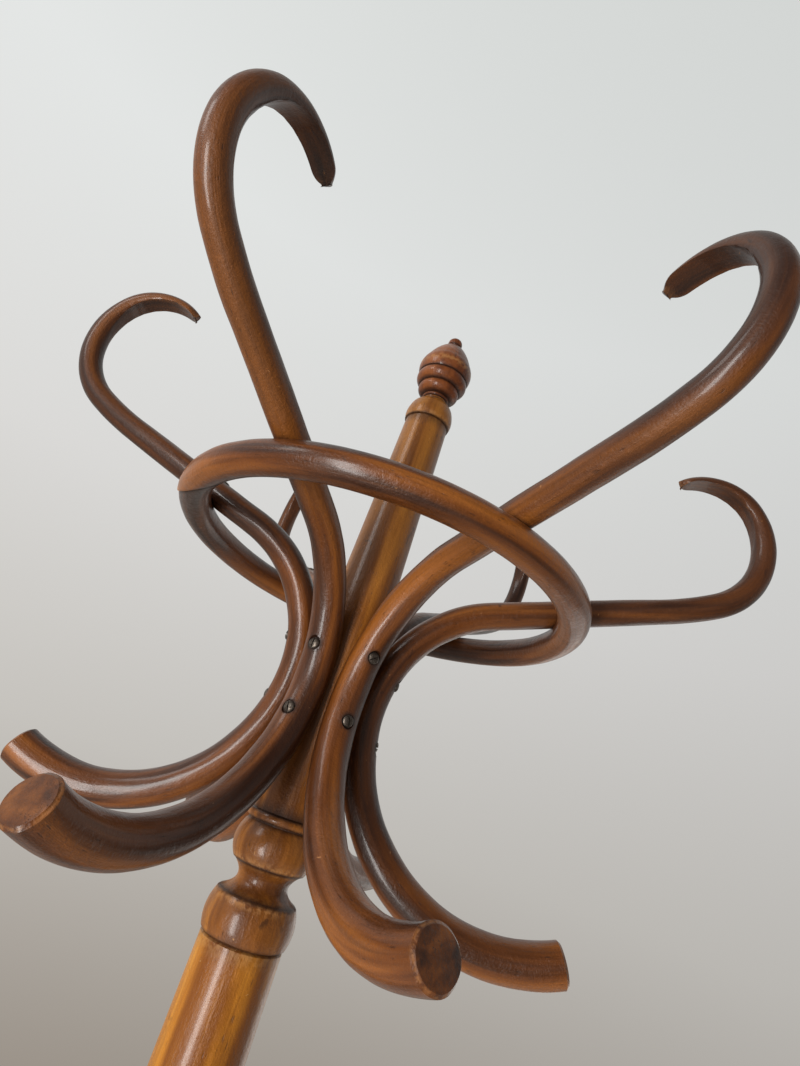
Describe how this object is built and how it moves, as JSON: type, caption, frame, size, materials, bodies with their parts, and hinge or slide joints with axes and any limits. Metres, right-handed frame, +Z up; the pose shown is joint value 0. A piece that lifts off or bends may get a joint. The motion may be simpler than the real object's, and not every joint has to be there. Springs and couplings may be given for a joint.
{
  "type": "standing coat rack",
  "caption": "Free-standing coat rack of bent and turned wood: curled hook arms and a ring round a turning head, a tall post, and splayed legs with an umbrella ring.",
  "frame": {"origin": "on the floor, at the centre of the base, on the post's axis", "axes": "+Z up along the post, +X to the right and +Y away from a person who faces the side with the scarf joint to its left"},
  "size_m": [0.621, 0.621, 1.929],
  "materials": {
    "bent_beech": "gloss lacquer over a reddish brown stain",
    "shaft_beech": "gloss lacquer over an orange brown stain",
    "post_beech": "gloss lacquer over a honey stain",
    "screw_steel": "dark oxidised",
    "glide_steel": "worn nickel plate"
  },
  "bodies": {
    "stand": {"lower_post": "post_beech", "post_drop": "post_beech", "leg_1": "bent_beech", "leg_2": "bent_beech", "leg_3": "bent_beech", "leg_4": "bent_beech", "umbrella_ring": "bent_beech", "leg_screws": "screw_steel", "umbrella_ring_screws": "screw_steel", "foot_glides": "glide_steel"},
    "head": {"head_shaft": "shaft_beech", "finial": "shaft_beech", "arm_1": "bent_beech", "arm_2": "bent_beech", "arm_3": "bent_beech", "arm_4": "bent_beech", "arm_5": "bent_beech", "arm_6": "bent_beech", "head_ring": "bent_beech", "arm_screws": "screw_steel", "head_ring_screws": "screw_steel"}
  },
  "joints": [
    {"name": "head_turn", "type": "hinge", "parent": "stand", "child": "head", "pos_m": [0, 0, 1.433], "axis": [0, 0, 1], "continuous": true}
  ]
}
